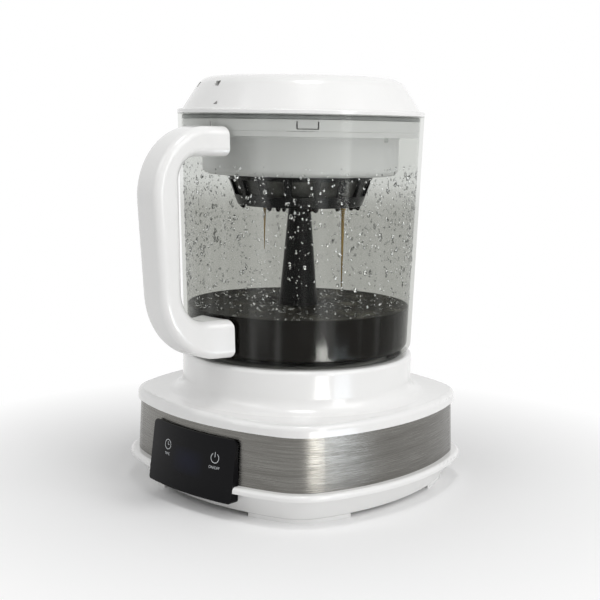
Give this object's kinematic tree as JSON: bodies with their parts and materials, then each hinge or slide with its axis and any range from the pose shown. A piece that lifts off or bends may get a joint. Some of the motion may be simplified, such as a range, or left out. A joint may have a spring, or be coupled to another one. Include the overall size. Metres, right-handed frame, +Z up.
{
  "type": "cold brew coffee maker",
  "caption": "Countertop cold brew coffee maker: clear handled jug on a powered base with touch panel, domed lid, hanging basket and pump riser.",
  "frame": {"origin": "on the vertical axis of jug and base, at the surface the feet stand on", "axes": "+Z up, -Y towards the control panel and the handle, +X to the right of someone facing the back of the panel side, that is to the right when looking along +Y"},
  "size_m": [0.1952, 0.2243, 0.2596],
  "materials": {
    "white_gloss": "glossy moulded white, slightly warm",
    "white_satin": "satin moulded white",
    "clear_plastic": "clear glossy plastic, see-through",
    "brushed_steel": "upright brushed stainless sheet",
    "black_gloss": "glossy black panel",
    "black_plastic": "satin black",
    "circuit_board": "green board",
    "motor_steel": "plated steel",
    "screw_steel": "stainless steel",
    "magnet": "nickel plated",
    "filter_mesh": "fine woven filter sheet",
    "seal_rubber": "soft grey seal"
  },
  "bodies": {
    "base": {"base_cover": "white_gloss", "steel_band": "brushed_steel", "base_pan": "white_gloss", "foot_pads": "white_gloss", "panel_cover": "black_gloss", "touch_board": "circuit_board", "display_module": "black_plastic", "main_board": "circuit_board", "motor": "motor_steel", "motor_bracket": "motor_steel", "power_inlet": "black_plastic", "case_screws": "screw_steel", "bracket_screws": "screw_steel"},
    "drive": {"drive_shaft": "motor_steel", "drive_disc": "black_plastic", "drive_magnets": "magnet"},
    "jug": {"jug_body": "clear_plastic", "handle": "white_gloss", "handle_clip": "white_gloss", "handle_screw": "screw_steel", "impeller_pin": "screw_steel", "impeller_clip": "screw_steel"},
    "impeller": {"impeller": "white_satin", "impeller_magnets": "magnet"},
    "holder": {"basket_holder": "white_satin"},
    "basket": {"basket_frame": "black_plastic", "basket_mesh": "filter_mesh", "riser_tube": "black_plastic", "pump_bell": "black_plastic"},
    "lid": {"lid_cover": "white_gloss", "lid_inner": "white_satin", "lid_seal": "seal_rubber", "spray_head": "white_satin", "lid_screws": "screw_steel"}
  },
  "joints": [
    {"name": "jug_lift", "type": "slide", "parent": "base", "child": "jug", "axis": [0, 0, 1], "range_m": [0, 0.05]},
    {"name": "holder_lift", "type": "slide", "parent": "jug", "child": "holder", "axis": [0, 0, 1], "range_m": [0, 0.16]},
    {"name": "lid_turn", "type": "hinge", "parent": "holder", "child": "lid", "pos_m": [0, 0, 0.2358], "axis": [0, 0, 1], "range_deg": [0, 30]},
    {"name": "basket_turn", "type": "hinge", "parent": "holder", "child": "basket", "pos_m": [0, 0, 0.2], "axis": [0, 0, 1], "range_deg": [0, 40]},
    {"name": "drive_spin", "type": "hinge", "parent": "base", "child": "drive", "pos_m": [0, 0, 0.06], "axis": [0, 0, 1], "continuous": true},
    {"name": "impeller_spin", "type": "hinge", "parent": "jug", "child": "impeller", "pos_m": [0, 0, 0.094], "axis": [0, 0, 1], "continuous": true}
  ],
  "couplings": [
    {"joint": "impeller_spin", "follows": "drive_spin", "ratio": 1}
  ]
}
